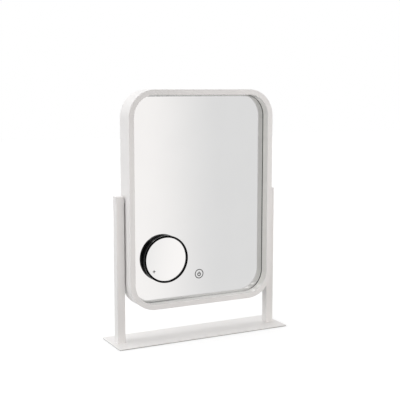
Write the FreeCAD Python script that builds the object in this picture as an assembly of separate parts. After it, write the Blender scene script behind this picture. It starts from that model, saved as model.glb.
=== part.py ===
import FreeCAD, Part
import math
import os

Vector = FreeCAD.Vector

# A lighted makeup mirror on a flat base, in millimetres. The origin lies under the middle of the base,
# +X is to the viewer's right, the mirror faces -Y and +Z is up.

# Head
head_width = 301.0
head_height = 407.6
head_corner_radius = 51.0
least_corner_radius = 3.0
pivot_height = 268.0  # tilt axis above the table
mirror_recess = 19.2  # front of the rim to the face of the mirror
glass_thickness = 3.0
pivot_behind_glass = 6.6  # back of the glass to the tilt axis
pivot_to_back = 14.1  # tilt axis to the back of the head

# Head frame
frame_wall = 2.5
rim_width = 10.0
rim_thickness = 2.5
rim_outer_round = 0.5
rim_inner_round = 0.4
frame_back_round = 0.4
boss_sink = 0.6  # how far a boss is let into the wall
boss_gap = 1.5  # boss to the back of the glass
side_boss_share = 0.45  # place of the side bosses, of half the head's height

# Light
diffuser_thickness = 2.0
diffuser_rib_thickness = 1.0
diffuser_rib_height = 2.0
diffuser_rib_gap = 0.2
led_strip_width = 8.0
led_strip_thickness = 0.4
led_pitch = 16.7
led_length = 3.5
led_breadth = 2.8
led_height = 0.9
led_solder_gap = 0.05

# Mirror
mirror_bevel_width = 3.1
mirror_bevel_depth = 0.3
gasket_thickness = 1.3
gasket_breadth = 3.0
glass_edge_gap = 3.5  # edge of the glass to the frame wall
tape_thickness = 1.0
tape_breadth = 20.0
tray_thickness = 1.5
tray_inset = 20.0

# Touch key
touch_above_edge = 55.2  # above the bottom edge of the head
touch_ring_radius = 9.2
touch_line_width = 1.6
power_sign_radius = 3.9
power_sign_drop = 1.0
power_sign_gap = 2.6
power_bar_height = 5.2
mark_thickness = 0.12
electrode_radius = 9.0
electrode_thickness = 0.4
contact_radius = 0.9
tray_window_radius = 12.0

# Circuit board
board_width = 60.0
board_height = 40.0
board_thickness = 1.6
board_rise = 10.0  # middle of the board above the touch mark
component_room = 9.9  # board to the rear cover
standoff_radius = 3.0
standoff_inset = 4.0
standoff_floor = 0.8
chip_length = 7.0
chip_breadth = 5.0
chip_height = 1.6
choke_side = 8.0
choke_height = 4.5
capacitor_radius = 3.2
capacitor_clearance = 1.8
connector_height = 5.5
connector_depth = 6.0
connector_margin = 2.5
driver_chip_shares = (-0.45, 0.35)  # places on the board, of half its width and half its height
touch_chip_shares = (0.05, -0.25)
choke_shares = (-0.5, -0.3)
capacitor_shares = (0.15, 0.5)
power_connector_share = 0.2  # of half the board's height
led_connector_share = -0.6  # of half the board's width

# Wires
wire_radius = 0.55
wire_spacing = 2.5
wire_bend = 4.0
wire_lead_out = 4.0  # straight start at the jack
wire_end_bend_share = 0.7  # of the last drop to the strip
wire_end_setback = 1.3  # from the back edge of the strip
wire_window_margin = 2.0
led_wire_count = 3
power_wire_count = 2

# Rear cover
cover_thickness = 2.0
cover_clearance = 0.3
cover_edge_round = 0.5
cover_screw_margin = 1.2  # edge of the cover to a screw's head
clamp_rib_inset = 22.0
clamp_rib_thickness = 2.0
groove_inset = 12.0
groove_width = 1.2
groove_depth = 0.7
vent_count = 13
vent_pitch = 7.0
vent_width = 2.6
vent_height = 24.0
vent_rise = 110.0  # rows of vents above and below the tilt axis
slot_corner_share = 0.45  # of a slot's width

# Power inlet
jack_side = 45.0  # axis of the jack from the middle of the head
jack_above_edge = 36.0  # above the bottom edge of the head
jack_flange_radius = 5.5
jack_flange_thickness = 1.2
jack_barrel_radius = 3.9
jack_barrel_length = 9.5
jack_bore_radius = 2.75
jack_bore_depth = 8.5
jack_pin_radius = 1.0
jack_pin_setback = 1.0
jack_lug_width = 1.8
jack_lug_thickness = 0.5
jack_lug_length = 3.0
jack_nut_across = 11.0
jack_nut_thickness = 2.0
pocket_width = 26.0
pocket_height = 18.0
pocket_depth = 4.0
pocket_corner_radius = 4.0

# Pivots
head_gap = 2.7  # head to post
shaft_radius = 2.5
shaft_stub = 1.5  # shaft beyond the nut
bush_radius = 4.2
bush_flange_radius = 6.5
bush_flange_thickness = 1.2
spacer_radius = 6.0
pad_thickness = 5.5
pad_depth = 10.6
pad_height = 32.0
plate_thickness = 2.0
plate_margin = 0.4  # plate short of the pad's edges
plate_hole_clearance = 0.3
plate_screw_spacing = 22.0
plate_screw_bite = 4.0
friction_washer_radius = 5.0
friction_washer_thickness = 1.0
spring_washer_radius = 4.8
spring_washer_thickness = 0.6
spring_washer_height = 1.2
lock_nut_across = 8.0
lock_nut_thickness = 5.0

# Posts
post_width = 15.2
post_depth = 16.4
post_wall = 1.2
post_corner_radius = 0.6
post_least_radius = 0.3
post_rise = 9.5  # top of the post above the tilt axis
post_cap_thickness = 2.0
post_cap_round = 0.3
post_cap_plug = 2.5
pivot_block_below = 12.0  # block below the tilt axis
pivot_block_gap = 0.1  # block to the cap's plug
pivot_block_skin = 1.5  # metal left behind the shaft's end
foot_block_height = 14.0
insert_clearance = 0.05

# Base
base_depth = 88.8
base_overhang = 11.2  # base beyond the posts
base_thickness = 2.2
base_corner_radius = 3.0
base_top_round = 0.4
base_bottom_round = 1.2
base_pad_thickness = 0.8
base_pad_inset = 3.0
post_screw_spacing = 8.0

# Screws
thread_clearance = 0.05
screw_hole_clearance = 0.2
small_screw_radius = 1.25
small_screw_length = 9.0
small_screw_head_radius = 2.5
small_screw_head_height = 1.4
post_screw_radius = 2.0
post_screw_length = 12.0
post_screw_head_radius = 3.6
post_screw_head_height = 1.6
board_screw_length = 5.2
screw_tip_gap = 0.4
drive_slot_length_share = 1.1  # of the head's radius
drive_slot_width_share = 0.26
drive_slot_depth_share = 0.55  # of the head's height

# Magnifier
magnifier_radius = 44.9
magnifier_from_side = 76.1  # its axis from the left edge of the head
magnifier_from_bottom = 92.1  # and from the bottom edge
magnifier_standoff = 11.4  # front of its bezel to the main mirror
magnifier_view_radius = 41.1
magnifier_wall = 1.2
magnifier_back_thickness = 1.8
magnifier_glass_edge = 4.0
magnifier_glass_clearance = 0.1
magnifier_curve_radius = 360.0
bezel_thickness = 2.2
bezel_round = 0.4
housing_round = 1.0
foam_clearance = 0.3
cup_height = 1.5
cup_radius = 9.0
cup_neck_radius = 5.0
cup_hollow_radius = 8.0
cup_hollow_depth = 0.8
cup_stem_radius = 2.5
cup_button_radius = 4.0
cup_button_height = 1.2
cup_circle_radius = 26.0
cup_count = 3

# Working values
running_clearance = 0.05
cut_overrun = 1.0
edge_match = 0.01
quarter_turn = math.pi / 2
hex_sides = 6

# Places that follow from the sizes
front_y = -(mirror_recess + glass_thickness + pivot_behind_glass)
back_y = pivot_to_back
rim_back_y = front_y + rim_thickness
glass_front_y = front_y + mirror_recess
glass_back_y = glass_front_y + glass_thickness
glass_edge_y = glass_front_y + mirror_bevel_depth
gasket_front_y = glass_edge_y - gasket_thickness
tape_back_y = glass_back_y + tape_thickness
tray_back_y = tape_back_y + tray_thickness
cover_inner_y = back_y - cover_thickness
board_back_y = cover_inner_y - component_room
board_front_y = board_back_y - board_thickness
connector_y = board_back_y + connector_height / 2
strip_middle_y = (rim_back_y + gasket_front_y) / 2
strip_back_y = strip_middle_y + led_strip_width / 2
pocket_floor_y = back_y - pocket_depth
pocket_inner_y = pocket_floor_y - cover_thickness
jack_inner_y = pocket_floor_y - jack_barrel_length

head_side_x = head_width / 2
head_bottom_z = pivot_height - head_height / 2
touch_z = head_bottom_z + touch_above_edge
board_z = touch_z + board_rise
board_bottom_z = board_z - board_height / 2
jack_z = head_bottom_z + jack_above_edge
diffuser_outer_inset = rim_width - diffuser_thickness
glass_inset = frame_wall + glass_edge_gap
cover_inset = frame_wall + cover_clearance
boss_inset = cover_inset + cover_screw_margin + small_screw_head_radius
boss_radius = boss_inset - frame_wall + boss_sink

pad_inner_x = head_side_x - frame_wall - pad_thickness
plate_inner_x = pad_inner_x - plate_thickness
washer_inner_x = plate_inner_x - friction_washer_thickness
spring_inner_x = washer_inner_x - spring_washer_height
nut_inner_x = spring_inner_x - lock_nut_thickness
shaft_inner_x = nut_inner_x - shaft_stub
post_inner_x = head_side_x + head_gap
post_x = post_inner_x + post_width / 2
post_outer_x = post_inner_x + post_width
insert_inset = post_wall + insert_clearance
shaft_outer_x = post_outer_x - insert_inset - pivot_block_skin
post_top_z = pivot_height + post_rise
tube_top_z = post_top_z - post_cap_thickness
base_top_z = base_pad_thickness + base_thickness
base_width = 2 * (post_outer_x + base_overhang)

magnifier_x = magnifier_from_side - head_side_x
magnifier_z = head_bottom_z + magnifier_from_bottom
bezel_front_y = glass_front_y - magnifier_standoff
bezel_back_y = bezel_front_y + bezel_thickness
housing_back_y = glass_front_y - cup_height
housing_floor_y = housing_back_y - magnifier_back_thickness
housing_bore_radius = magnifier_radius - magnifier_wall
magnifier_glass_back_y = bezel_back_y + magnifier_glass_edge

along_x = Vector(1, 0, 0)
along_y = Vector(0, 1, 0)
along_z = Vector(0, 0, 1)
origin = Vector(0, 0, 0)


# Building blocks
def block(low, high):
    """A box between two opposite corners."""
    size = high - low
    return Part.makeBox(size.x, size.y, size.z, low)


def rod(radius, start, end):
    """A round bar between two points."""
    run = end - start
    return Part.makeCylinder(radius, run.Length, start, run)


def cone(start_radius, end_radius, start, end):
    """A round bar that tapers between two points."""
    run = end - start
    return Part.makeCone(start_radius, end_radius, run.Length, start, run)


def drill(radius, start, end):
    """The cutter for a hole that runs out past both points."""
    overrun = (end - start).normalize() * cut_overrun
    return rod(radius, start - overrun, end + overrun)


def ring(outer_radius, inner_radius, start, end):
    """A round bar with a hole along it."""
    return rod(outer_radius, start, end).cut(drill(inner_radius, start, end))


def round_the_axis(radius, angle):
    """A step of this length in the XZ plane, at an angle from +X towards +Z."""
    return Vector(radius * math.cos(angle), 0, radius * math.sin(angle))


def rounded_outline(centre, width, height, radius, across, up):
    """A rectangle with round corners, as a closed wire."""
    arcs = []
    for turn, (side, rise) in enumerate(((1, 1), (-1, 1), (-1, -1), (1, -1))):
        corner = centre + across * (side * (width / 2 - radius)) + up * (rise * (height / 2 - radius))
        angles = [quarter_turn * (turn + step / 2) for step in range(3)]
        arcs.append([corner + across * (radius * math.cos(a)) + up * (radius * math.sin(a)) for a in angles])
    edges = []
    for arc, next_arc in zip(arcs, arcs[1:] + arcs[:1]):
        edges.append(Part.Arc(*arc).toShape())
        edges.append(Part.LineSegment(arc[-1], next_arc[0]).toShape())
    return Part.Wire(edges)


def rounded_slab(centre, width, height, radius, across, up, through):
    """A plate with round corners; centre is the middle of its first face and through is its thickness."""
    return Part.Face(rounded_outline(centre, width, height, radius, across, up)).extrude(through)


def head_outline(inset, place):
    """The head's outline in a plane across Y, drawn in by an inset."""
    radius = max(head_corner_radius - inset, least_corner_radius)
    middle = Vector(0, place, pivot_height)
    return rounded_outline(middle, head_width - 2 * inset, head_height - 2 * inset, radius, along_x, along_z)


def head_slab(inset, front, back):
    """The head's outline, drawn in by an inset, from one plane to another along Y."""
    return Part.Face(head_outline(inset, front)).extrude(along_y * (back - front))


def head_ring(outer_inset, inner_inset, front, back):
    """A band that follows the head's outline between two insets."""
    inside = head_slab(inner_inset, front - cut_overrun, back + cut_overrun)
    return head_slab(outer_inset, front, back).cut(inside)


def edges_in_plane(shape, axis, place, half_width=math.inf, half_height=math.inf):
    """The edges that lie in a plane across Y or Z and, if asked, within the middle of the head."""
    found = []
    for edge in shape.Edges:
        box = edge.BoundBox
        low, high = (box.YMin, box.YMax) if axis == along_y else (box.ZMin, box.ZMax)
        in_plane = abs(low - place) < edge_match and abs(high - place) < edge_match
        reach_x = max(-box.XMin, box.XMax)
        reach_z = max(pivot_height - box.ZMin, box.ZMax - pivot_height)
        if in_plane and reach_x < half_width + edge_match and reach_z < half_height + edge_match:
            found.append(edge)
    return found


def rounded_in_plane(shape, axis, place, radius):
    """The shape with all its edges in one plane rounded."""
    return shape.makeFillet(radius, edges_in_plane(shape, axis, place))


def placed(shape, point, direction):
    """A copy of a piece drawn along +Z from the origin, moved to a point and turned to a direction."""
    copy = shape.copy()
    copy.Placement = FreeCAD.Placement(point, FreeCAD.Rotation(along_z, direction))
    return copy


def other_side(shape):
    """The same piece on the left of the mirror."""
    return shape.mirror(origin, along_x)


def both_sides(shape):
    """A piece and its twin on the left, as one group."""
    return Part.makeCompound([shape, other_side(shape)])


def flat_screw_body(radius, length, head_radius, head_height):
    """A countersunk screw's outside: its flat top at the origin, its shank along +Z."""
    head = cone(head_radius, radius, origin, along_z * head_height)
    return head.fuse(rod(radius, origin, along_z * length)).removeSplitter()


def with_drive(screw, head_radius, head_top, head_height):
    """A screw with a cross recess in the top of its head."""
    reach = head_radius * drive_slot_length_share / 2
    half_width = head_radius * drive_slot_width_share / 2
    top = head_top - cut_overrun
    bottom = head_top + head_height * drive_slot_depth_share
    for half_x, half_y in ((reach, half_width), (half_width, reach)):
        screw = screw.cut(block(Vector(-half_x, -half_y, top), Vector(half_x, half_y, bottom)))
    return screw


def flat_screw(radius, length, head_radius, head_height):
    """A countersunk screw along +Z with its flat top at the origin."""
    body = flat_screw_body(radius, length, head_radius, head_height)
    return with_drive(body, head_radius, 0, head_height)


def flat_screw_cutter(radius, length, head_radius, head_height):
    """The hole for a countersunk screw, open past its top."""
    body = flat_screw_body(radius, length, head_radius, head_height)
    return body.fuse(rod(head_radius, along_z * -cut_overrun, origin))


def pan_screw(radius, length):
    """A small pan head screw along +Z, the underside of its head at the origin."""
    head = rod(small_screw_head_radius, along_z * -small_screw_head_height, origin)
    body = head.fuse(rod(radius, origin, along_z * length)).removeSplitter()
    return with_drive(body, small_screw_head_radius, -small_screw_head_height, small_screw_head_height)


def hex_nut(across_flats, thickness, bore_radius):
    """A six-sided nut from the origin along +Z."""
    corner_radius = across_flats / 2 / math.cos(math.pi / hex_sides)
    angles = [2 * math.pi * side / hex_sides for side in range(hex_sides + 1)]
    corners = [Vector(corner_radius * math.cos(a), corner_radius * math.sin(a), 0) for a in angles]
    prism = Part.Face(Part.makePolygon(corners)).extrude(along_z * thickness)
    return prism.cut(drill(bore_radius, origin, along_z * thickness))


def wire_along(points, bends):
    """A round wire through the points; each inner corner is an arc of its own bend radius."""
    edges = []
    start = points[0]
    for before, corner, after, bend in zip(points, points[1:], points[2:], bends):
        back = (before - corner).normalize()
        onward = (after - corner).normalize()
        half_angle = back.getAngle(onward) / 2
        reach = bend / math.tan(half_angle)
        bisector = (back + onward).normalize()
        middle = corner + bisector * (bend / math.sin(half_angle) - bend)
        edges.append(Part.LineSegment(start, corner + back * reach).toShape())
        edges.append(Part.Arc(corner + back * reach, middle, corner + onward * reach).toShape())
        start = corner + onward * reach
    edges.append(Part.LineSegment(start, points[-1]).toShape())
    section = Part.Wire([Part.Circle(points[0], points[1] - points[0], wire_radius).toShape()])
    return Part.Wire(edges).makePipeShell([section], True, False)


# Base and posts
def post_screw_points():
    """Where the screws for both posts enter the underside of the base plate."""
    half = post_screw_spacing / 2
    return [Vector(x, y, base_pad_thickness) for x in (-post_x, post_x) for y in (-half, half)]


def base_plate():
    middle = Vector(0, 0, base_pad_thickness)
    thickness = along_z * base_thickness
    plate = rounded_slab(middle, base_width, base_depth, base_corner_radius, along_x, along_y, thickness)
    plate = rounded_in_plane(plate, along_z, base_top_z, base_top_round)
    plate = rounded_in_plane(plate, along_z, base_pad_thickness, base_bottom_round)
    radius = post_screw_radius + screw_hole_clearance
    head_radius = post_screw_head_radius + screw_hole_clearance
    hole = flat_screw_cutter(radius, post_screw_length, head_radius, post_screw_head_height)
    for point in post_screw_points():
        plate = plate.cut(placed(hole, point, along_z))
    return plate


def base_pad():
    width = base_width - 2 * base_pad_inset
    depth = base_depth - 2 * base_pad_inset
    thickness = along_z * base_pad_thickness
    return rounded_slab(origin, width, depth, base_corner_radius, along_x, along_y, thickness)


def post_screws():
    screw = flat_screw(post_screw_radius, post_screw_length, post_screw_head_radius, post_screw_head_height)
    return Part.makeCompound([placed(screw, point, along_z) for point in post_screw_points()])


def post_slab(inset, bottom, top):
    """The right post's section, drawn in by an inset, from one height to another."""
    radius = max(post_corner_radius - inset, post_least_radius)
    foot = Vector(post_x, 0, bottom)
    width = post_width - 2 * inset
    depth = post_depth - 2 * inset
    return rounded_slab(foot, width, depth, radius, along_x, along_y, along_z * (top - bottom))


def right_post():
    tube = post_slab(0, base_top_z, tube_top_z)
    hollow = post_slab(post_wall, base_top_z - cut_overrun, tube_top_z + cut_overrun)
    inner_wall = Vector(post_inner_x, 0, pivot_height)
    hole = drill(shaft_radius + thread_clearance, inner_wall, inner_wall + along_x * post_wall)
    return tube.cut(hollow).cut(hole)


def right_post_cap():
    cap = rounded_in_plane(post_slab(0, tube_top_z, post_top_z), along_z, post_top_z, post_cap_round)
    return cap.fuse(post_slab(insert_inset, tube_top_z - post_cap_plug, tube_top_z)).removeSplitter()


def right_pivot_block():
    top = tube_top_z - post_cap_plug - pivot_block_gap
    mouth = Vector(post_inner_x, 0, pivot_height)
    hole_end = Vector(shaft_outer_x, 0, pivot_height)
    hole = rod(shaft_radius + thread_clearance, mouth, hole_end)
    return post_slab(insert_inset, pivot_height - pivot_block_below, top).cut(hole)


def right_foot_block():
    foot = post_slab(insert_inset, base_top_z, base_top_z + foot_block_height)
    for point in post_screw_points():
        tip = point + along_z * (post_screw_length + screw_tip_gap)
        foot = foot.cut(rod(post_screw_radius + thread_clearance, point, tip))
    return foot


# Pivots
def on_axis(x):
    """A point on the tilt axis."""
    return Vector(x, 0, pivot_height)


def right_pivot_shaft():
    return rod(shaft_radius, on_axis(shaft_inner_x), on_axis(shaft_outer_x))


def right_pivot_spacer():
    inner = on_axis(head_side_x + bush_flange_thickness)
    return ring(spacer_radius, shaft_radius + running_clearance, inner, on_axis(post_inner_x))


def right_pivot_bush():
    flange_outer = on_axis(head_side_x + bush_flange_thickness)
    flange = rod(bush_flange_radius, on_axis(head_side_x), flange_outer)
    sleeve = rod(bush_radius, on_axis(pad_inner_x), on_axis(head_side_x))
    bore = drill(shaft_radius + running_clearance, on_axis(pad_inner_x), flange_outer)
    return flange.fuse(sleeve).removeSplitter().cut(bore)


def plate_screw_points():
    """Where the screws of the right pivot plate bear on it."""
    rise = along_z * (plate_screw_spacing / 2)
    return [on_axis(plate_inner_x) - rise, on_axis(plate_inner_x) + rise]


def right_pivot_plate():
    half_depth = pad_depth / 2 - plate_margin
    half_height = pad_height / 2 - plate_margin
    low = on_axis(plate_inner_x) - Vector(0, half_depth, half_height)
    high = on_axis(pad_inner_x) + Vector(0, half_depth, half_height)
    hole = drill(shaft_radius + plate_hole_clearance, on_axis(plate_inner_x), on_axis(pad_inner_x))
    plate = block(low, high).cut(hole)
    hole_radius = small_screw_radius + screw_hole_clearance
    for point in plate_screw_points():
        plate = plate.cut(drill(hole_radius, point, point + along_x * plate_thickness))
    return plate


def plate_screws():
    screw = pan_screw(small_screw_radius, plate_thickness + plate_screw_bite)
    right = [placed(screw, point, along_x) for point in plate_screw_points()]
    return Part.makeCompound(right + [other_side(screw) for screw in right])


def right_friction_washer():
    bore_radius = shaft_radius + running_clearance
    return ring(friction_washer_radius, bore_radius, on_axis(washer_inner_x), on_axis(plate_inner_x))


def right_spring_washer():
    """A dished washer; its rim bears on the friction washer and its middle on the nut."""
    inner_radius = shaft_radius + running_clearance
    corners = [
        Vector(spring_washer_radius, 0, 0),
        Vector(spring_washer_radius, 0, spring_washer_thickness),
        Vector(inner_radius, 0, spring_washer_height),
        Vector(inner_radius, 0, spring_washer_height - spring_washer_thickness),
    ]
    profile = Part.Face(Part.makePolygon(corners + corners[:1]))
    washer = profile.revolve(origin, along_z, math.degrees(4 * quarter_turn))
    return placed(washer, on_axis(washer_inner_x), -along_x)


def right_lock_nut():
    nut = hex_nut(lock_nut_across, lock_nut_thickness, shaft_radius + thread_clearance)
    return placed(nut, on_axis(spring_inner_x), -along_x)


# Head frame
def boss_points():
    """Where the rear cover's screws go: top, bottom, corners and sides, as places in the XZ plane."""
    reach_x = head_side_x - boss_inset
    reach_z = head_height / 2 - boss_inset
    corner_step = round_the_axis(head_corner_radius - boss_inset, quarter_turn / 2)
    corner_x = head_side_x - head_corner_radius + corner_step.x
    corner_z = head_height / 2 - head_corner_radius + corner_step.z
    side_z = head_height / 2 * side_boss_share
    places = [(0, reach_z), (0, -reach_z)]
    for across in (-1, 1):
        for up in (-1, 1):
            places.append((across * corner_x, up * corner_z))
            places.append((across * reach_x, up * side_z))
    return [Vector(x, 0, pivot_height + z) for x, z in places]


def frame_shell():
    """The rim and the outer wall, with their edges rounded."""
    shell = head_slab(0, front_y, back_y)
    shell = rounded_in_plane(shell, along_y, front_y, rim_outer_round)
    shell = rounded_in_plane(shell, along_y, back_y, frame_back_round)
    shell = shell.cut(head_slab(frame_wall, rim_back_y, back_y + cut_overrun))
    shell = shell.cut(head_slab(rim_width, front_y - cut_overrun, rim_back_y + cut_overrun))
    half_width = head_side_x - rim_width
    half_height = head_height / 2 - rim_width
    return shell.makeFillet(rim_inner_round, edges_in_plane(shell, along_y, front_y, half_width, half_height))


def right_pivot_pad():
    """The thick place in the right wall that carries the bush and the plate."""
    reach = Vector(0, pad_depth / 2, pad_height / 2)
    return block(on_axis(pad_inner_x) - reach, on_axis(head_side_x - frame_wall / 2) + reach)


def right_pivot_holes():
    """The cutters for the bush and for the plate's screws in the right wall."""
    holes = [drill(bush_radius + insert_clearance, on_axis(pad_inner_x), on_axis(head_side_x))]
    for point in plate_screw_points():
        tip = point + along_x * (plate_thickness + plate_screw_bite + screw_tip_gap)
        holes.append(rod(small_screw_radius + thread_clearance, point, tip))
    return holes


def head_frame():
    frame = frame_shell()
    rib_inner_inset = diffuser_outer_inset - diffuser_rib_gap
    rib_outer_inset = rib_inner_inset - diffuser_rib_thickness
    additions = [head_ring(rib_outer_inset, rib_inner_inset, rim_back_y, rim_back_y + diffuser_rib_height)]
    boss_front = along_y * (glass_back_y + boss_gap)
    boss_back = along_y * cover_inner_y
    for point in boss_points():
        additions.append(rod(boss_radius, point + boss_front, point + boss_back))
    pad = right_pivot_pad()
    additions += [pad, other_side(pad)]
    frame = frame.fuse(additions).removeSplitter()
    hole_tip = along_y * (back_y - small_screw_length - screw_tip_gap)
    cutters = []
    for point in boss_points():
        cutters.append(rod(small_screw_radius + thread_clearance, point + hole_tip, point + boss_back))
    for hole in right_pivot_holes():
        cutters += [hole, other_side(hole)]
    return frame.cut(cutters)


# Light and mirror
def light_diffuser():
    return head_ring(diffuser_outer_inset, rim_width, rim_back_y, gasket_front_y)


def led_strip():
    front = strip_middle_y - led_strip_width / 2
    return head_ring(frame_wall, frame_wall + led_strip_thickness, front, strip_back_y)


def led_places(inset):
    """Evenly spread places round the head's outline, each with the angle that faces outwards."""
    radius = head_corner_radius - inset
    side_lengths = (head_height - 2 * head_corner_radius, head_width - 2 * head_corner_radius)
    side_reaches = (head_side_x, head_height / 2)
    corner_count = max(1, round(radius * quarter_turn / led_pitch))
    places = []
    for turn in range(4):
        facing = turn * quarter_turn
        length = side_lengths[turn % 2]
        reach = side_reaches[turn % 2]
        side_count = max(1, round(length / led_pitch))
        for step in range(side_count):
            along_share = (step + 1 / 2) / side_count - 1 / 2
            along = round_the_axis(length * along_share, facing + quarter_turn)
            places.append((round_the_axis(reach - inset, facing) + along, facing))
        half_side = round_the_axis(length / 2, facing + quarter_turn)
        corner = round_the_axis(reach - head_corner_radius, facing) + half_side
        for step in range(corner_count):
            angle = facing + quarter_turn * (step + 1 / 2) / corner_count
            places.append((corner + round_the_axis(radius, angle), angle))
    return places


def led_chips():
    low = Vector(-led_height, -led_breadth / 2, -led_length / 2)
    chip = block(low, Vector(0, led_breadth / 2, led_length / 2))
    middle = Vector(0, strip_middle_y, pivot_height)
    chips = []
    for place, angle in led_places(frame_wall + led_strip_thickness + led_solder_gap):
        turned = chip.copy()
        rotation = FreeCAD.Rotation(-along_y, math.degrees(angle))
        turned.Placement = FreeCAD.Placement(middle + place, rotation)
        chips.append(turned)
    return Part.makeCompound(chips)


def mirror_gasket():
    return head_ring(rim_width - gasket_breadth, rim_width, gasket_front_y, glass_edge_y)


def mirror_glass():
    """A plate whose edge lies under the gasket, with a bevel from there up to its face."""
    plate = head_slab(glass_inset, glass_edge_y, glass_back_y)
    bevel_outlines = [
        head_outline(rim_width, glass_edge_y),
        head_outline(rim_width + mirror_bevel_width, glass_front_y),
    ]
    return plate.fuse(Part.makeLoft(bevel_outlines, True, True)).removeSplitter()


def mirror_tape():
    return head_ring(tray_inset, tray_inset + tape_breadth, glass_back_y, tape_back_y)


def standoff_points():
    """The board's fixing points, as places in the XZ plane."""
    reach_x = board_width / 2 - standoff_inset
    reach_z = board_height / 2 - standoff_inset
    return [Vector(x, 0, board_z + z) for x in (-reach_x, reach_x) for z in (-reach_z, reach_z)]


def mirror_tray():
    tray = head_slab(tray_inset, tape_back_y, tray_back_y)
    window_front = Vector(0, tape_back_y, touch_z)
    window_back = Vector(0, tray_back_y, touch_z)
    tray = tray.cut(drill(tray_window_radius, window_front, window_back))
    for point in standoff_points():
        tray = tray.fuse(rod(standoff_radius, point + along_y * tape_back_y, point + along_y * board_front_y))
    tray = tray.removeSplitter()
    for point in standoff_points():
        floor = point + along_y * (tape_back_y + standoff_floor)
        tray = tray.cut(rod(small_screw_radius + thread_clearance, floor, point + along_y * board_front_y))
    return tray


# Touch key and circuit board
def touch_symbol():
    """A thin ring and a power sign, printed on the face of the mirror."""
    thickness = along_y * mark_thickness
    middle = Vector(0, glass_front_y - mark_thickness, touch_z)
    outer = ring(touch_ring_radius, touch_ring_radius - touch_line_width, middle, middle + thickness)
    low_middle = middle - along_z * power_sign_drop
    sign = ring(power_sign_radius, power_sign_radius - touch_line_width, low_middle, low_middle + thickness)
    half_gap = along_x * (power_sign_gap / 2)
    gap_top = along_z * (power_sign_radius + cut_overrun)
    gap = block(low_middle - half_gap - thickness, low_middle + half_gap + gap_top + thickness * 2)
    half_line = along_x * (touch_line_width / 2)
    bar = block(low_middle - half_line, low_middle + half_line + along_z * power_bar_height + thickness)
    return Part.makeCompound([outer, sign.cut(gap), bar])


def touch_electrode():
    middle = Vector(0, glass_back_y, touch_z)
    return rod(electrode_radius, middle, middle + along_y * electrode_thickness)


def touch_contact():
    tip = Vector(0, glass_back_y + electrode_thickness, touch_z)
    return rod(contact_radius, tip, Vector(0, board_front_y, touch_z))


def control_board():
    low = Vector(-board_width / 2, board_front_y, board_bottom_z)
    high = Vector(board_width / 2, board_back_y, board_bottom_z + board_height)
    board = block(low, high)
    hole_radius = small_screw_radius + screw_hole_clearance
    for point in standoff_points():
        board = board.cut(drill(hole_radius, point + along_y * board_front_y, point + along_y * board_back_y))
    return board


def on_board(shares):
    """A place on the back of the board."""
    share_x, share_z = shares
    return Vector(board_width / 2 * share_x, board_back_y, board_z + board_height / 2 * share_z)


def component(middle, length, breadth, height):
    """A box that stands on the back of the board."""
    reach = Vector(length / 2, 0, breadth / 2)
    return block(middle - reach, middle + reach + along_y * height)


def board_components():
    chips = [component(on_board(s), chip_length, chip_breadth, chip_height)
             for s in (driver_chip_shares, touch_chip_shares)]
    choke = component(on_board(choke_shares), choke_side, choke_side, choke_height)
    can_foot = on_board(capacitor_shares)
    capacitor = rod(capacitor_radius, can_foot, can_foot + along_y * (component_room - capacitor_clearance))
    power_middle = on_board((1, power_connector_share)) - along_x * (connector_depth / 2)
    power_length = wire_spacing * power_wire_count + connector_margin
    power = component(power_middle, connector_depth, power_length, connector_height)
    led_middle = on_board((led_connector_share, -1)) + along_z * (connector_depth / 2)
    led_length_along = wire_spacing * led_wire_count + connector_margin
    led = component(led_middle, led_length_along, connector_depth, connector_height)
    return Part.makeCompound(chips + [choke, capacitor, power, led])


def board_screws():
    screw = pan_screw(small_screw_radius, board_screw_length)
    return Part.makeCompound([placed(screw, p + along_y * board_back_y, -along_y) for p in standoff_points()])


def wire_offsets(count):
    """Sideways places of wires that lie side by side."""
    return [(step - (count - 1) / 2) * wire_spacing for step in range(count)]


def power_wires():
    """Two wires from the jack's lugs to the board; the outer one at the jack is the upper at the board."""
    lug_y = jack_inner_y + jack_lug_thickness / 2
    lug_z = jack_z + jack_barrel_radius + jack_lug_length
    step_back = connector_y - lug_y
    plug = on_board((1, power_connector_share))
    wires = []
    for offset in wire_offsets(power_wire_count):
        x = jack_side + offset
        z = plug.z + offset
        points = [
            Vector(x, lug_y, lug_z),
            Vector(x, lug_y, lug_z + wire_lead_out),
            Vector(x, connector_y, lug_z + wire_lead_out + step_back),
            Vector(x, connector_y, z),
            Vector(plug.x, connector_y, z),
        ]
        wires.append(wire_along(points, (wire_bend, wire_bend, wire_bend)))
    return Part.makeCompound(wires)


def led_wires():
    """Wires from the board, down round the edge of the glass and forward to the LED strip."""
    gap_z = head_bottom_z + frame_wall + glass_edge_gap / 2
    strip_z = head_bottom_z + frame_wall + led_strip_thickness
    end_y = strip_back_y - wire_end_setback
    plug = on_board((led_connector_share, -1))
    end_bend = (gap_z - strip_z) * wire_end_bend_share
    wires = []
    for offset in wire_offsets(led_wire_count):
        x = plug.x + offset
        points = [
            Vector(x, connector_y, plug.z),
            Vector(x, connector_y, gap_z),
            Vector(x, end_y, gap_z),
            Vector(x, end_y, strip_z),
        ]
        wires.append(wire_along(points, (wire_bend, end_bend)))
    return Part.makeCompound(wires)


# Rear cover and power inlet
def pocket_slab(grow, front, back):
    """The outline of the jack's pocket, grown by a wall, from one plane to another along Y."""
    middle = Vector(jack_side, front, jack_z)
    width = pocket_width + 2 * grow
    height = pocket_height + 2 * grow
    radius = pocket_corner_radius + grow
    return rounded_slab(middle, width, height, radius, along_x, along_z, along_y * (back - front))


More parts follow.
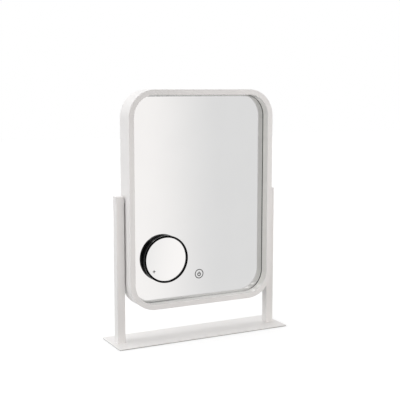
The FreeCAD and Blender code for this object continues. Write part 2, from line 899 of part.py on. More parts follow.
def vent_slots():
    """Two rows of upright slots."""
    slots = []
    through = along_y * (cover_thickness + 2 * cut_overrun)
    radius = vent_width * slot_corner_share
    for rise in (-vent_rise, vent_rise):
        for step in range(vent_count):
            x = (step - (vent_count - 1) / 2) * vent_pitch
            middle = Vector(x, cover_inner_y - cut_overrun, pivot_height + rise)
            slots.append(rounded_slab(middle, vent_width, vent_height, radius, along_x, along_z, through))
    return slots


def wire_window():
    """The opening in the cover's rib for the wires to the LED strip."""
    middle_x = board_width / 2 * led_connector_share
    half_width = wire_spacing * (led_wire_count - 1) / 2 + wire_window_margin
    rib_bottom = head_bottom_z + clamp_rib_inset
    low = Vector(middle_x - half_width, connector_y - wire_window_margin, rib_bottom - cut_overrun)
    high_z = rib_bottom + clamp_rib_thickness + cut_overrun
    return block(low, Vector(middle_x + half_width, connector_y + wire_window_margin, high_z))


def rear_cover():
    cover = head_slab(cover_inset, cover_inner_y, back_y)
    cover = rounded_in_plane(cover, along_y, back_y, cover_edge_round)
    rib = head_ring(clamp_rib_inset, clamp_rib_inset + clamp_rib_thickness, tray_back_y, cover_inner_y)
    pocket_wall = pocket_slab(cover_thickness, pocket_inner_y, cover_inner_y)
    cover = cover.fuse([rib, pocket_wall]).removeSplitter()
    groove_floor = back_y - groove_depth
    cutters = [head_ring(groove_inset, groove_inset + groove_width, groove_floor, back_y + cut_overrun)]
    cutters.append(pocket_slab(0, pocket_floor_y, back_y + cut_overrun))
    jack_floor = Vector(jack_side, pocket_floor_y, jack_z)
    jack_inside = Vector(jack_side, pocket_inner_y, jack_z)
    cutters.append(drill(jack_barrel_radius + screw_hole_clearance, jack_floor, jack_inside))
    cutters.append(wire_window())
    cutters += vent_slots()
    radius = small_screw_radius + screw_hole_clearance
    head_radius = small_screw_head_radius + thread_clearance
    hole = flat_screw_cutter(radius, small_screw_length, head_radius, small_screw_head_height)
    for point in boss_points():
        cutters.append(placed(hole, point + along_y * back_y, -along_y))
    return cover.cut(cutters)


def cover_screws():
    head_radius = small_screw_head_radius
    screw = flat_screw(small_screw_radius, small_screw_length, head_radius, small_screw_head_height)
    return Part.makeCompound([placed(screw, p + along_y * back_y, -along_y) for p in boss_points()])


def dc_jack():
    """A round inlet with a centre pin, its flange in the cover's pocket and its lugs inside."""
    floor = Vector(jack_side, pocket_floor_y, jack_z)
    face = floor + along_y * jack_flange_thickness
    inner = Vector(jack_side, jack_inner_y, jack_z)
    bore_floor = face - along_y * jack_bore_depth
    jack = rod(jack_flange_radius, floor, face).fuse(rod(jack_barrel_radius, inner, floor))
    for offset in wire_offsets(power_wire_count):
        low = inner + along_x * (offset - jack_lug_width / 2)
        lug = Vector(jack_lug_width, jack_lug_thickness, jack_barrel_radius + jack_lug_length)
        jack = jack.fuse(block(low, low + lug))
    jack = jack.removeSplitter().cut(rod(jack_bore_radius, bore_floor, face + along_y * cut_overrun))
    return jack.fuse(rod(jack_pin_radius, bore_floor, face - along_y * jack_pin_setback)).removeSplitter()


def dc_jack_nut():
    nut = hex_nut(jack_nut_across, jack_nut_thickness, jack_barrel_radius + thread_clearance)
    return placed(nut, Vector(jack_side, pocket_inner_y, jack_z), -along_y)


# Magnifier
def on_magnifier(y):
    """A point on the magnifier's axis."""
    return Vector(magnifier_x, y, magnifier_z)


def cup_steps():
    """Steps from the magnifier's axis to its suction cups."""
    turn = 2 * math.pi / cup_count
    return [round_the_axis(cup_circle_radius, quarter_turn + turn * step) for step in range(cup_count)]


def magnifier_bezel():
    front = on_magnifier(bezel_front_y)
    bezel = ring(magnifier_radius, magnifier_view_radius, front, on_magnifier(bezel_back_y))
    return rounded_in_plane(bezel, along_y, bezel_front_y, bezel_round)


def magnifier_housing():
    housing = rod(magnifier_radius, on_magnifier(bezel_back_y), on_magnifier(housing_back_y))
    housing = rounded_in_plane(housing, along_y, housing_back_y, housing_round)
    mouth = on_magnifier(bezel_back_y - cut_overrun)
    housing = housing.cut(rod(housing_bore_radius, mouth, on_magnifier(housing_floor_y)))
    for step in cup_steps():
        start = on_magnifier(housing_floor_y) + step
        end = on_magnifier(housing_back_y) + step
        housing = housing.cut(drill(cup_stem_radius + thread_clearance, start, end))
    return housing


def magnifier_mirror():
    """A disc of glass with a hollow, silvered front."""
    radius = housing_bore_radius - magnifier_glass_clearance
    disc = rod(radius, on_magnifier(bezel_back_y), on_magnifier(magnifier_glass_back_y))
    centre_depth = math.sqrt(magnifier_curve_radius**2 - magnifier_view_radius**2)
    return disc.cut(Part.makeSphere(magnifier_curve_radius, on_magnifier(bezel_back_y - centre_depth)))


def magnifier_foam():
    radius = housing_bore_radius - foam_clearance
    foam = rod(radius, on_magnifier(magnifier_glass_back_y), on_magnifier(housing_floor_y))
    for step in cup_steps():
        start = on_magnifier(magnifier_glass_back_y) + step
        end = on_magnifier(housing_floor_y) + step
        foam = foam.cut(drill(cup_button_radius + foam_clearance, start, end))
    return foam


def suction_cups():
    """Cups on the back of the housing, each with a stem through it and a button inside."""
    button_front = housing_floor_y - cup_button_height
    cups = []
    for step in cup_steps():
        front = on_magnifier(button_front) + step
        back = on_magnifier(housing_back_y) + step
        button = rod(cup_button_radius, front, on_magnifier(housing_floor_y) + step)
        stem = rod(cup_stem_radius, front, back)
        lip = on_magnifier(glass_front_y) + step
        bowl = cone(cup_neck_radius, cup_radius, back, lip)
        hollow = cone(cup_stem_radius, cup_hollow_radius, lip - along_y * cup_hollow_depth, lip)
        cups.append(button.fuse([stem, bowl]).removeSplitter().cut(hollow))
    return Part.makeCompound(cups)


# All pieces by name
pieces = {
    "base_plate": base_plate(),
    "base_pad": base_pad(),
    "post_screws": post_screws(),
    "pivot_spacers": both_sides(right_pivot_spacer()),
    "friction_washers": both_sides(right_friction_washer()),
    "spring_washers": both_sides(right_spring_washer()),
    "lock_nuts": both_sides(right_lock_nut()),
    "plate_screws": plate_screws(),
    "head_frame": head_frame(),
    "light_diffuser": light_diffuser(),
    "led_strip": led_strip(),
    "led_chips": led_chips(),
    "mirror_gasket": mirror_gasket(),
    "mirror_glass": mirror_glass(),
    "mirror_tape": mirror_tape(),
    "mirror_tray": mirror_tray(),
    "touch_symbol": touch_symbol(),
    "touch_electrode": touch_electrode(),
    "touch_contact": touch_contact(),
    "control_board": control_board(),
    "board_components": board_components(),
    "board_screws": board_screws(),
    "power_wires": power_wires(),
    "led_wires": led_wires(),
    "rear_cover": rear_cover(),
    "cover_screws": cover_screws(),
    "dc_jack": dc_jack(),
    "dc_jack_nut": dc_jack_nut(),
    "magnifier_bezel": magnifier_bezel(),
    "magnifier_housing": magnifier_housing(),
    "magnifier_mirror": magnifier_mirror(),
    "magnifier_foam": magnifier_foam(),
    "suction_cups": suction_cups(),
}
right_pieces = {
    "post": right_post(),
    "post_cap": right_post_cap(),
    "foot_block": right_foot_block(),
    "pivot_block": right_pivot_block(),
    "pivot_shaft": right_pivot_shaft(),
    "pivot_bush": right_pivot_bush(),
    "pivot_plate": right_pivot_plate(),
}
for name, shape in right_pieces.items():
    pieces["right_" + name] = shape
    pieces["left_" + name] = other_side(shape)

os.makedirs("parts", exist_ok=True)
for name, shape in pieces.items():
    shape.exportStep("parts/" + name + ".step")
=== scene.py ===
import math

import bmesh
import bpy
from mathutils import Matrix, Vector


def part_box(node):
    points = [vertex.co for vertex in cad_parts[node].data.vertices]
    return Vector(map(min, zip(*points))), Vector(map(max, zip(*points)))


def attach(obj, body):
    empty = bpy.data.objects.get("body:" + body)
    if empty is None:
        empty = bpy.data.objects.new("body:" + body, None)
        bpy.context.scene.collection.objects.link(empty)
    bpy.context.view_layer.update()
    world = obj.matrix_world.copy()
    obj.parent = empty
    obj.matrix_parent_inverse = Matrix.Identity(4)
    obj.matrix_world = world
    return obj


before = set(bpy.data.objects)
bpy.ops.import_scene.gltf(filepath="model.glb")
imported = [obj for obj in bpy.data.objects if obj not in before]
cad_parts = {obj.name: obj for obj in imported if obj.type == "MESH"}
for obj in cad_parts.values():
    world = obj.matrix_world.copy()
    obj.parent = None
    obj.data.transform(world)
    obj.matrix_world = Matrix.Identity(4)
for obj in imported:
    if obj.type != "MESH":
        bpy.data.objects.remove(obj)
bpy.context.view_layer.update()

# A lighted makeup mirror in a white studio, in metres. The origin lies under the middle of the base,
# +X is to the viewer's right, the mirror faces -Y and +Z is up.

# Camera
camera_place = Vector((-0.7300, -1.4363, 0.4745))
camera_yaw = math.radians(-27.158)
camera_pitch = math.radians(-7.530)
camera_sensor = 36.0  # millimetres, as the camera has it
camera_lens = 76.34  # millimetres too

# Sky that lights matt surfaces
sky_axis = Vector((-0.05, 0.45, 0.89))  # where the sky is brightest
sky_low = 0.25  # brightness a quarter turn from there
sky_high = 0.95  # and right there

# Floor, whose glow rises with the distance from the middle
floor_reach = 6.0
floor_grey = 0.36
floor_near = 0.5
floor_far = 2.5
floor_glow = 0.69
floor_far_glow = 0.82

# Lamps, with their power in watts
lamps = {
    "top_lamp": {"size": 0.8, "place": (-0.15, 0.10, 2.50), "aim": (-0.1, 0.05, 0), "power": 12.6},
    "left_lamp": {"size": 1.2, "place": (-1.70, -0.15, 0.55), "aim": (0, 0, 0.25), "power": 11.6},
    "front_lamp": {
        "size": 0.6, "place": (0.18, -0.80, 0.06), "aim": (0, 0, 0.15), "power": 4.3,
        "color": (1.0, 0.955, 0.92),
    },
    "right_lamp": {
        "size": 0.2, "place": (0.45, -0.35, 0.66), "aim": (0.12, 0, 0.42), "power": 0.058,
        "spread": math.radians(70),
    },
    "back_lamp": {"size": 0.5, "place": (0.20, 1.70, 0.27), "aim": (0, 0, 0.27), "power": 4.0},
}

# Windows, which light nothing matt and show in reflections only
window = {"size": 0.2, "aim": (0.12, 0, 0.08), "power": 0.32, "only_reflected": True}
window_places = {"left_window": (-0.135, -1.27, 0.87), "right_window": (0.405, -1.27, 0.85)}

# Room behind the camera, as reflections see it
room_axis = Vector((-0.46, -0.88, 0.05))
room_tone = 0.6
room_share = 0.90  # nearness to the axis at which the room is at its darkest
room_end_share = 0.45  # and at which it has turned white

# Reflection card in front of the mirror
card_distance = 0.40
card_left = -0.10
card_right = 1.10
card_bottom = -0.70
card_top = 1.20
card_edge = 0.12
card_bright = (1.115, 1.092, 1.078)
card_grey = (0.868, 0.867, 0.866)
card_fade_start = 0.041
card_fade_end = 0.266
card_bounce_limit = 1.5  # light that mirrors have turned twice passes through the card

# Values between which a noise pattern mostly lies
noise_low = 0.3
noise_high = 0.7

# White coats and mouldings
coat_cloud_size = 0.09
coat_speck_size = 0.012
rubbed_edge_width = 0.0006
rubbed_white = (0.845, 0.838, 0.830)
shade_and_scuff_full = 0.0022  # height above the table up to which the coat is darkened by painted shade and scuffs
shade_and_scuff_end = 0.0029
shade_and_scuff_grey = (0.56, 0.555, 0.545)
steel_grain_size = 0.0011
steel_grain_depth = 0.000012
shell_grain_size = 0.0007
shell_grain_depth = 0.000006
rear_grain_size = 0.0009
rear_grain_depth = 0.00003

# Milky acrylic, with painted shade under the top rim
acrylic_cloud_size = 0.017
acrylic_skin_size = 0.004
acrylic_skin_depth = 0.000004
acrylic_scatter = (0.002, 0.002, 0.002)
acrylic_low = (0.880, 0.866, 0.832)
acrylic_high = (0.910, 0.896, 0.862)
acrylic_painted_shade = (0.46, 0.452, 0.43)
painted_shade_start = 0.012  # how far below its top the acrylic starts to darken, as painted shade
painted_shade_full = 0.004

# Silvered glass
haze_size = 0.05
wipe_size = 0.02
wipe_scale = (1.0, 1.0, 0.2)

# Black gloss of the magnifier
bezel_round = 0.0004  # the rounded edges of the bezel stay dull
gloss_black = (0.0012, 0.0012, 0.0013)
gloss_dust = (0.004, 0.004, 0.004)
gloss_dust_size = 0.003
hairline_size = 0.0006
hairline_scale = (1.0, 12.0, 1.0)
hairline_depth = 0.0000015

# Foam
foam_pore_size = 0.0009
foam_pore_depth = 0.00006

# Dark rubber of the gasket, dusty and lightened with painted light on its lower run, kept dark at its left
# as painted shade
rubber_low = (0.030, 0.030, 0.030)
rubber_high = (0.045, 0.045, 0.045)
rubber_pore_size = 0.0006
rubber_pore_depth = 0.00001
dust_and_painted_light_color = (0.60, 0.59, 0.57)
dust_and_painted_light_size = 0.004
dust_and_painted_light_full = 0.0742  # height up to which the lower run is dusty and lightened with painted light
dust_and_painted_light_end = 0.0800
painted_shade_until = -0.075  # left of here the lower run stays dark, as painted shade
painted_shade_gone_from = -0.025

# Clear rubber of the suction cups
clear_low = (0.80, 0.82, 0.82)
clear_high = (0.88, 0.89, 0.89)
clear_haze_size = 0.004
clear_haze_depth = 0.00001

# Metal
brass_color = (0.74, 0.57, 0.29)
turning_size = 0.0004
turning_scale = (1.0, 6.0, 1.0)
turning_depth = 0.000004
dull_patch_size = 0.004

# Small mouldings and prints
plastic_grain_size = 0.0008
plastic_grain_depth = 0.000006
plastic_cloud_size = 0.006

# Power inlet and its pin
inlet_low = (0.017, 0.017, 0.017)
inlet_high = (0.022, 0.022, 0.022)
inlet_cloud_size = 0.002
pin_radius = 0.0010
pin_margin = 0.0003

# Magnifier's printed mark
magnifier_curve_radius = 0.360
magnifier_view_radius = 0.0411
mark_arm = 0.0030
mark_half_width = 0.0007
mark_thickness = 0.00012
mark_from_axis = 0.0325
mark_angle = math.radians(222)


# Building blocks for materials
class Graph:
    """The shader nodes of a material or a world, with short ways to add and join them."""

    def __init__(self, owner, coordinates="Object", blank=False):
        owner.use_nodes = True
        self.nodes = owner.node_tree.nodes
        self.links = owner.node_tree.links
        if blank:
            self.nodes.clear()
        self.place = self.add("ShaderNodeTexCoord").outputs[coordinates]

    def add(self, kind, **settings):
        """A new node with some of its settings."""
        node = self.nodes.new(kind)
        for setting, value in settings.items():
            setattr(node, setting, value)
        return node

    def give(self, socket, value):
        """Links a node's output to a socket, or sets the socket to a constant."""
        if isinstance(value, bpy.types.NodeSocket):
            self.links.new(value, socket)
        else:
            socket.default_value = value

    def feed(self, node, **values):
        """Gives a node's inputs their values by name."""
        for name, value in values.items():
            self.give(node.inputs[name.replace("_", " ")], value)
        return node

    def along(self, axis):
        """How far the shaded place lies along one axis."""
        return self.feed(self.add("ShaderNodeSeparateXYZ"), Vector=self.place).outputs[axis]

    def ramp(self, value, start, end, low, high, shape="SMOOTHSTEP"):
        """Maps a value between two limits to a range, if not told otherwise with a soft start and end."""
        node = self.add("ShaderNodeMapRange", interpolation_type=shape)
        limits = {"From_Min": start, "From_Max": end, "To_Min": low, "To_Max": high}
        return self.feed(node, Value=value, **limits).outputs["Result"]

    def join(self, operation, first, second):
        """Two values put together by one operation."""
        node = self.add("ShaderNodeMath", operation=operation)
        self.give(node.inputs[0], first)
        self.give(node.inputs[1], second)
        return node.outputs["Value"]

    def dot(self, first, second):
        """The dot product of two vectors."""
        node = self.add("ShaderNodeVectorMath", operation="DOT_PRODUCT")
        self.give(node.inputs[0], first)
        self.give(node.inputs[1], second)
        return node.outputs["Value"]

    def blend(self, share, first, second):
        """A colour between two others."""
        node = self.add("ShaderNodeMix", data_type="RGBA")
        self.give(node.inputs[0], share)
        for socket, color in ((node.inputs[6], first), (node.inputs[7], second)):
            self.give(socket, color if isinstance(color, bpy.types.NodeSocket) else (*color, 1.0))
        return node.outputs[2]

    def pick(self, share, first, second):
        """A shader between two others."""
        node = self.add("ShaderNodeMixShader")
        for socket, value in zip(node.inputs, (share, first, second)):
            self.give(socket, value)
        return node.outputs["Shader"]

    def show(self, output, shader):
        """Ends the nodes with an output that shows a shader."""
        self.feed(self.add(output), Surface=shader)


class Finish(Graph):
    """A material with one Principled shader, textured in the part's own coordinates."""

    def __init__(self, name, **sockets):
        self.material = bpy.data.materials.new(name)
        super().__init__(self.material)
        self.shader = self.feed(self.nodes["Principled BSDF"], **sockets)

    def noise(self, size, detail, scale=None):
        """A cloudy pattern from 0 to 1 with features of about this size, divided by the scale if given."""
        place = self.place
        if scale is not None:
            mapping = self.feed(self.add("ShaderNodeMapping"), Vector=self.place, Scale=scale)
            place = mapping.outputs["Vector"]
        node = self.feed(self.add("ShaderNodeTexNoise"), Vector=place, Scale=1 / size, Detail=detail)
        return node.outputs["Fac"]

    def vary(self, pattern, low, high):
        """Maps the values that a pattern mostly has to a range."""
        return self.ramp(pattern, noise_low, noise_high, low, high)

    def grain(self, height, depth):
        """Turns a pattern into a surface relief of this depth."""
        bump = self.feed(self.add("ShaderNodeBump"), Height=height, Distance=depth, Strength=1.0)
        self.feed(self.shader, Normal=bump.outputs["Normal"])

    def edge(self, radius):
        """A mask that is 1 along sharp edges."""
        soft = self.feed(self.add("ShaderNodeBevel", samples=6), Radius=radius).outputs["Normal"]
        flat = self.add("ShaderNodeNewGeometry").outputs["Normal"]
        return self.ramp(self.dot(soft, flat), 0.99, 0.80, 0.0, 1.0)

    def use(self, **links):
        """Gives the shader its last inputs by name."""
        self.feed(self.shader, **links)
        return self.material


def darker(color, share):
    """A colour at a share of its brightness."""
    return [channel * share for channel in color]


# Finishes
def coated_finish(name, color, grain_size, grain_depth, roughness):
    """A pale coat: fine grain, slight clouding, uneven gloss, rubbed edges, and a foot darkened by painted
    shade and scuffs.
    """
    finish = Finish(name, Specular_IOR_Level=0.4)
    edge = finish.edge(rubbed_edge_width)
    clouds = finish.noise(coat_cloud_size, 3.0)
    specks = finish.noise(coat_speck_size, 4.0)
    body = finish.blend(finish.vary(clouds, 0.0, 1.0), darker(color, 0.975), color)
    # Painted shade with scuffs: the coat turns grey near the table.
    low_down = finish.ramp(finish.along("Z"), shade_and_scuff_full, shade_and_scuff_end, 1.0, 0.0)
    shade_and_scuff = finish.join("MULTIPLY", low_down, finish.ramp(specks, 0.2, 0.6, 0.7, 1.0))
    body = finish.blend(shade_and_scuff, body, shade_and_scuff_grey)
    rubbed = finish.join("MULTIPLY", edge, finish.ramp(specks, 0.45, 0.7, 0.0, 0.6))
    body = finish.blend(rubbed, body, rubbed_white)
    finish.grain(finish.noise(grain_size, 2.0), grain_depth)
    return finish.use(Base_Color=body, Roughness=finish.ramp(specks, 0.25, 0.75, *roughness))


def diffuser_finish():
    """Milky acrylic: glossy skin over a soft, slightly uneven white, with painted shade under the top rim.
    """
    finish = Finish("milky_acrylic", Coat_Weight=0.5, Coat_Roughness=0.06, Subsurface_Weight=0.15,
                    Subsurface_Radius=acrylic_scatter, Subsurface_Scale=1.0)
    clouds = finish.noise(acrylic_cloud_size, 2.0)
    body = finish.blend(finish.vary(clouds, 0.0, 1.0), acrylic_low, acrylic_high)
    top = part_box("light_diffuser")[1].z
    # Painted shade: the acrylic turns grey just under its top.
    painted_shade_share = finish.ramp(finish.along("Z"), top - painted_shade_start, top - painted_shade_full, 0.0, 1.0)
    body = finish.blend(painted_shade_share, body, acrylic_painted_shade)
    skin = finish.noise(acrylic_skin_size, 3.0)
    finish.grain(skin, acrylic_skin_depth)
    return finish.use(Base_Color=body, Roughness=finish.vary(skin, 0.16, 0.26))


def mirror_finish(name, color):
    """Silvered glass with a trace of haze."""
    finish = Finish(name, Metallic=1.0)
    haze = finish.noise(haze_size, 4.0)
    wiped = finish.noise(wipe_size, 3.0, wipe_scale)
    body = finish.blend(finish.ramp(haze, 0.35, 0.7, 0.0, 1.0), color, darker(color, 0.99))
    return finish.use(Base_Color=body, Roughness=finish.ramp(wiped, 0.4, 0.8, 0.0, 0.012))


def black_gloss_finish():
    """Black moulding with fine hairline marks, polished on the side of the bezel."""
    finish = Finish("black_gloss", Specular_IOR_Level=0.05)
    low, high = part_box("magnifier_bezel")
    depth = finish.along("Y")
    behind_front = finish.ramp(depth, low.y + bezel_round / 2, low.y + bezel_round, 0.0, 1.0)
    before_back = finish.ramp(depth, high.y - bezel_round, high.y, 1.0, 0.0)
    polished = finish.join("MULTIPLY", behind_front, before_back)
    gloss = finish.ramp(polished, 0.0, 1.0, 0.01, 0.5)
    dust_and_painted_light = finish.noise(gloss_dust_size, 5.0)
    body = finish.blend(finish.ramp(dust_and_painted_light, 0.62, 0.8, 0.0, 1.0), gloss_black, gloss_dust)
    hairlines = finish.noise(hairline_size, 3.0, hairline_scale)
    finish.grain(hairlines, hairline_depth)
    roughness = finish.vary(hairlines, 0.10, 0.2)
    return finish.use(Base_Color=body, Specular_IOR_Level=gloss, Roughness=roughness)


def foam_finish(name, color, roughness):
    """Foam with fine pores."""
    finish = Finish(name, Specular_IOR_Level=0.3)
    pores = finish.noise(foam_pore_size, 3.0)
    body = finish.blend(finish.ramp(pores, 0.3, 0.6, 0.0, 1.0), darker(color, 0.8), color)
    finish.grain(pores, foam_pore_depth)
    return finish.use(Base_Color=body, Roughness=finish.vary(pores, roughness - 0.08, roughness))


def gasket_finish():
    """Dark rubber with fine pores, dusty and lightened with painted light on its lower run, and kept dark
    at its left as painted shade.
    """
    finish = Finish("gasket_rubber", Specular_IOR_Level=0.3)
    pores = finish.noise(rubber_pore_size, 3.0)
    body = finish.blend(finish.ramp(pores, 0.3, 0.6, 0.0, 1.0), rubber_low, rubber_high)
    # Dusty lower run lightened with painted light; painted shade keeps its left end dark.
    on_lower_run = finish.ramp(finish.along("Z"), dust_and_painted_light_full, dust_and_painted_light_end, 1.0, 0.0)
    out_of_painted_shade = finish.ramp(finish.along("X"), painted_shade_until, painted_shade_gone_from, 0.0, 1.0)
    patchy = finish.ramp(finish.noise(dust_and_painted_light_size, 4.0), 0.3, 0.6, 0.6, 1.0)
    dust_and_painted_light = finish.join("MULTIPLY", finish.join("MULTIPLY", on_lower_run, out_of_painted_shade), patchy)
    body = finish.blend(dust_and_painted_light, body, dust_and_painted_light_color)
    finish.grain(pores, rubber_pore_depth)
    return finish.use(Base_Color=body, Roughness=finish.vary(pores, 0.62, 0.7))


def clear_rubber_finish():
    """Soft clear plastic, a little hazy."""
    finish = Finish("clear_rubber", Transmission_Weight=0.6, IOR=1.46)
    haze = finish.noise(clear_haze_size, 3.0)
    body = finish.blend(finish.vary(haze, 0.0, 1.0), clear_low, clear_high)
    finish.grain(haze, clear_haze_depth)
    return finish.use(Base_Color=body, Roughness=finish.vary(haze, 0.12, 0.28))


def metal_finish(name, color, roughness):
    """Plated metal with fine turning marks and a few duller patches."""
    finish = Finish(name, Metallic=1.0)
    lines = finish.noise(turning_size, 3.0, turning_scale)
    patches = finish.noise(dull_patch_size, 3.0)
    body = finish.blend(finish.ramp(patches, 0.35, 0.7, 0.0, 1.0), color, darker(color, 0.82))
    finish.grain(lines, turning_depth)
    return finish.use(Base_Color=body, Roughness=finish.vary(lines, roughness, roughness + 0.15))


def plain_plastic_finish(name, color, roughness):
    """Small moulded or printed pieces with a fine even grain."""
    finish = Finish(name, Specular_IOR_Level=0.4)
    clouds = finish.noise(plastic_cloud_size, 3.0)
    body = finish.blend(finish.vary(clouds, 0.0, 1.0), darker(color, 0.85), color)
    finish.grain(finish.noise(plastic_grain_size, 2.0), plastic_grain_depth)
    return finish.use(Base_Color=body, Roughness=finish.vary(clouds, roughness, roughness + 0.12))


def inlet_finish():
    """Black moulding with a bright pin on the axis of its nut."""
    finish = Finish("inlet_moulding")
    low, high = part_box("dc_jack_nut")
    aside = finish.join("SUBTRACT", finish.along("X"), (low.x + high.x) / 2)
    above = finish.join("SUBTRACT", finish.along("Z"), (low.z + high.z) / 2)
    squares = [finish.join("MULTIPLY", offset, offset) for offset in (aside, above)]
    distance = finish.join("POWER", finish.join("ADD", *squares), 0.5)
    pin = finish.ramp(distance, pin_radius, pin_radius + pin_margin, 1.0, 0.0)
    clouds = finish.noise(inlet_cloud_size, 3.0)
    body = finish.blend(finish.vary(clouds, 0.0, 1.0), inlet_low, inlet_high)
    body = finish.blend(pin, body, brass_color)
    finish.grain(finish.noise(plastic_grain_size, 2.0), plastic_grain_depth)
    return finish.use(Base_Color=body, Metallic=pin, Roughness=finish.vary(clouds, 0.3, 0.42))


# Solids and their finishes
# Coats: colour, size and depth of the grain, least and most roughness, solids
coats = {
    "white_coat": ((0.858, 0.843, 0.833), steel_grain_size, steel_grain_depth, (0.36, 0.46),
                   ("base_plate", "left_post", "right_post")),
    "white_shell": ((0.879, 0.863, 0.855), shell_grain_size, shell_grain_depth, (0.34, 0.44),
                    ("head_frame", "left_post_cap", "right_post_cap")),
    "white_rear": ((0.85, 0.845, 0.838), rear_grain_size, rear_grain_depth, (0.46, 0.58), ("rear_cover",)),
}
# Mirrors: colour, solids
mirrors = {
    "silver_mirror": ((0.817, 0.817, 0.817), ("mirror_glass",)),
    "bright_mirror": ((0.860, 0.860, 0.860), ("magnifier_mirror",)),
}
# Foams, plain plastics and metals: colour, roughness, solids
foams = {
    "foot_foam": ((0.55, 0.55, 0.55), 0.9, ("base_pad",)),
    "grey_foam": ((0.38, 0.38, 0.38), 0.92, ("magnifier_foam", "mirror_tape")),
}
plain_plastics = {
    "touch_print": ((0.06, 0.06, 0.06), 0.4, ("touch_symbol",)),
    "tray_plastic": ((0.55, 0.55, 0.55), 0.5, ("mirror_tray",)),
    "solder_mask": ((0.03, 0.20, 0.09), 0.3, ("control_board",)),
    "strip_white": ((0.85, 0.85, 0.83), 0.35, ("led_strip",)),
    "led_phosphor": ((0.88, 0.76, 0.30), 0.3, ("led_chips",)),
    "wire_red": ((0.5, 0.04, 0.03), 0.35, ("power_wires",)),
    "wire_white": ((0.8, 0.8, 0.78), 0.35, ("led_wires",)),
    "black_moulding": ((0.02, 0.02, 0.02), 0.35, ("board_components",)),
    "acetal": ((0.86, 0.86, 0.85), 0.35,
               ("left_pivot_bush", "right_pivot_bush", "pivot_spacers", "friction_washers")),
}
metals = {
    "bright_brass": (brass_color, 0.25, ("touch_electrode", "touch_contact")),
    "sawn_alloy": ((0.72, 0.72, 0.73), 0.34,
                   ("left_foot_block", "right_foot_block", "left_pivot_block", "right_pivot_block")),
    "plated_steel": ((0.62, 0.62, 0.63), 0.26, (
        "post_screws", "cover_screws", "plate_screws", "board_screws", "left_pivot_shaft",
        "right_pivot_shaft", "left_pivot_plate", "right_pivot_plate", "spring_washers", "lock_nuts",
        "dc_jack_nut",
    )),
}


def cover(solids, material):
    """Puts a material on some solids."""
    for solid in solids:
        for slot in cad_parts[solid].material_slots:
            slot.material = material


def dress():
    """Gives every solid its finish."""
    kinds = (
        (coated_finish, coats),
        (mirror_finish, mirrors),
        (foam_finish, foams),
        (plain_plastic_finish, plain_plastics),
        (metal_finish, metals),
    )
    for make_finish, finishes in kinds:
        for name, (*looks, solids) in finishes.items():
            cover(solids, make_finish(name, *looks))
    cover(("light_diffuser",), diffuser_finish())
    cover(("mirror_gasket",), gasket_finish())
    cover(("magnifier_bezel", "magnifier_housing"), black_gloss_finish())
    cover(("suction_cups",), clear_rubber_finish())
    cover(("dc_jack",), inlet_finish())


# Printed mark on the magnifier
def mark_place():
    """Where the mark sits: low on the left of the hollow mirror, facing the middle of its curve."""
    low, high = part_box("magnifier_bezel")
    axis_x = (low.x + high.x) / 2
    axis_z = (low.z + high.z) / 2
    mirror_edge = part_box("magnifier_mirror")[0].y
    centre_y = mirror_edge - math.sqrt(magnifier_curve_radius**2 - magnifier_view_radius**2)
    centre = Vector((axis_x, centre_y, axis_z))
    step = Vector((math.cos(mark_angle), 0, math.sin(mark_angle))) * mark_from_axis
    depth = math.sqrt(magnifier_curve_radius**2 - mark_from_axis**2)
    spot = centre + step + Vector((0, depth, 0))
    normal = (centre - spot).normalized()
    across = Vector((0, 0, 1)).cross(normal).normalized()
    up = normal.cross(across)
    turn = Matrix((across, up, normal)).transposed().to_4x4()
    return Matrix.Translation(spot) @ turn


def mark_outline():
    """The corners of a plus sign, one arm after the other."""
    corners = []
    arm = [(mark_half_width, mark_half_width), (mark_half_width, mark_arm), (-mark_half_width, mark_arm)]
    for quarter in range(4):
        corners += arm
        arm = [(-y, x) for x, y in arm]
    return corners


def magnifier_mark():
    """A plain plus sign with half its thickness above the mirror."""
    mesh = bpy.data.meshes.new("magnifier_mark")
    sketch = bmesh.new()
    face = sketch.faces.new([sketch.verts.new((x, y, -mark_thickness / 2)) for x, y in mark_outline()])
    raised = bmesh.ops.extrude_face_region(sketch, geom=[face])
    moved = [item for item in raised["geom"] if isinstance(item, bmesh.types.BMVert)]
    bmesh.ops.translate(sketch, verts=moved, vec=(0, 0, mark_thickness))
    bmesh.ops.recalc_face_normals(sketch, faces=sketch.faces)
    bmesh.ops.transform(sketch, matrix=mark_place(), verts=sketch.verts)
    sketch.to_mesh(mesh)
    sketch.free()
    mark = bpy.data.objects.new("magnifier_mark", mesh)
    bpy.context.scene.collection.objects.link(mark)
    mesh.materials.append(plain_plastic_finish("mark_print", (0.03, 0.03, 0.03), 0.4))
    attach(mark, "magnifier")


# Studio
def sheet_object(name, corners):
    """A flat four-cornered sheet with a material of its own."""
    mesh = bpy.data.meshes.new(name)
    mesh.from_pydata(corners, [], [(0, 1, 2, 3)])
    mesh.materials.append(bpy.data.materials.new(name))
    sheet = bpy.data.objects.new(name, mesh)
    bpy.context.scene.collection.objects.link(sheet)
    return sheet


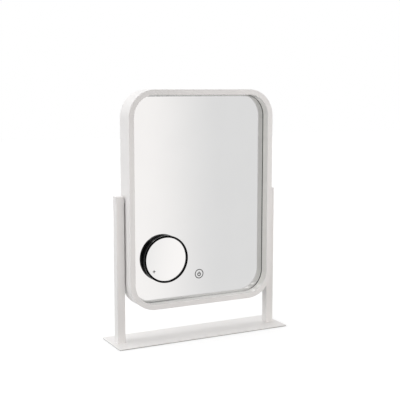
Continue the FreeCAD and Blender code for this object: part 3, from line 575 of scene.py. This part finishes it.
def studio_floor():
    """A white floor that keeps the shadow and that mirrors see through."""
    reach = floor_reach
    corners = [(-reach, -reach, 0), (reach, -reach, 0), (reach, reach, 0), (-reach, reach, 0)]
    floor = sheet_object("floor", corners)
    graph = Graph(floor.active_material, blank=True)
    path = graph.add("ShaderNodeLightPath").outputs
    distance = graph.add("ShaderNodeVectorMath", operation="LENGTH")
    graph.give(distance.inputs[0], graph.place)
    away = distance.outputs["Value"]
    level = graph.ramp(away, floor_near, floor_far, floor_glow, floor_far_glow, "LINEAR")
    seen = graph.join("MULTIPLY", path["Is Camera Ray"], level)
    glow = graph.feed(graph.add("ShaderNodeEmission"), Strength=seen)
    matt = graph.feed(graph.add("ShaderNodeBsdfDiffuse"), Color=(floor_grey, floor_grey, floor_grey, 1))
    both = graph.add("ShaderNodeAddShader")
    graph.give(both.inputs[0], matt.outputs["BSDF"])
    graph.give(both.inputs[1], glow.outputs["Emission"])
    clear = graph.add("ShaderNodeBsdfTransparent")
    shader = graph.pick(path["Is Glossy Ray"], both.outputs["Shader"], clear.outputs["BSDF"])
    graph.show("ShaderNodeOutputMaterial", shader)


def reflection_card():
    """A large card that only mirrors see, bright at its left, grey towards its right, with soft edges."""
    corners = [(card_left, -card_distance, card_bottom), (card_right, -card_distance, card_bottom),
               (card_right, -card_distance, card_top), (card_left, -card_distance, card_top)]
    card = sheet_object("reflection_card", corners)
    card.visible_camera = False
    card.visible_diffuse = False
    card.visible_transmission = False
    card.visible_volume_scatter = False
    card.visible_shadow = False
    graph = Graph(card.active_material, blank=True)
    across = graph.along("X")
    height = graph.along("Z")
    tone = graph.blend(graph.ramp(across, card_fade_start, card_fade_end, 0.0, 1.0), card_bright, card_grey)
    bounces = graph.add("ShaderNodeLightPath").outputs["Glossy Depth"]
    shown = graph.join("LESS_THAN", bounces, card_bounce_limit)
    soft_edges = (
        (across, card_left, card_left + card_edge),
        (across, card_right, card_right - card_edge),
        (height, card_bottom, card_bottom + card_edge),
        (height, card_top, card_top - card_edge),
    )
    for place, edge, full in soft_edges:
        shown = graph.join("MULTIPLY", shown, graph.ramp(place, edge, full, 0.0, 1.0))
    glow = graph.feed(graph.add("ShaderNodeEmission"), Color=tone)
    clear = graph.add("ShaderNodeBsdfTransparent")
    shader = graph.pick(shown, clear.outputs["BSDF"], glow.outputs["Emission"])
    graph.show("ShaderNodeOutputMaterial", shader)


def studio_world():
    """White for the camera, the room for reflections, and a sky for everything else."""
    world = bpy.data.worlds.new("studio")
    bpy.context.scene.world = world
    graph = Graph(world, "Generated", blank=True)
    path = graph.add("ShaderNodeLightPath").outputs
    sky_nearness = graph.dot(graph.place, sky_axis.normalized())
    sky_level = graph.ramp(sky_nearness, 0.0, 1.0, sky_low, sky_high, "LINEAR")
    sky = graph.feed(graph.add("ShaderNodeBackground"), Color=(1, 1, 1, 1), Strength=sky_level)
    room_nearness = graph.dot(graph.place, room_axis.normalized())
    room_level = graph.ramp(room_nearness, room_end_share, room_share, 1.0, room_tone, "LINEAR")
    room_level = graph.join("MAXIMUM", room_level, path["Is Camera Ray"])
    room = graph.feed(graph.add("ShaderNodeBackground"), Color=(1, 1, 1, 1), Strength=room_level)
    seen = path["Is Camera Ray"]
    for ray in ("Is Glossy Ray", "Is Transmission Ray"):
        seen = graph.join("MAXIMUM", seen, path[ray])
    shader = graph.pick(seen, sky.outputs["Background"], room.outputs["Background"])
    graph.show("ShaderNodeOutputWorld", shader)


def studio_lamp(name, size, place, aim, power, color=(1, 1, 1), spread=math.pi, only_reflected=False):
    """A square lamp that lights matt surfaces and stays out of reflections, or the other way round."""
    data = bpy.data.lights.new(name, "AREA")
    data.shape = "SQUARE"
    data.size = size
    data.energy = power
    data.color = color
    data.spread = spread
    lamp = bpy.data.objects.new(name, data)
    lamp.location = place
    lamp.rotation_euler = (Vector(aim) - Vector(place)).to_track_quat("-Z", "Y").to_euler()
    lamp.visible_camera = False
    lamp.visible_glossy = only_reflected
    lamp.visible_diffuse = not only_reflected
    bpy.context.scene.collection.objects.link(lamp)


def studio_lamps():
    """All the lamps, and the windows after them."""
    for name, lamp in lamps.items():
        studio_lamp(name, **lamp)
    for name, place in window_places.items():
        studio_lamp(name, place=place, **window)


def photo_camera():
    """The camera, pitched down and turned to its right."""
    data = bpy.data.cameras.new("camera")
    data.sensor_width = camera_sensor
    data.lens = camera_lens
    camera = bpy.data.objects.new("camera", data)
    camera.location = camera_place
    camera.rotation_euler = (math.pi / 2 + camera_pitch, 0, camera_yaw)
    bpy.context.scene.collection.objects.link(camera)
    bpy.context.scene.camera = camera


dress()
magnifier_mark()
studio_floor()
reflection_card()
studio_world()
studio_lamps()
photo_camera()
bpy.context.scene.view_settings.view_transform = "Standard"
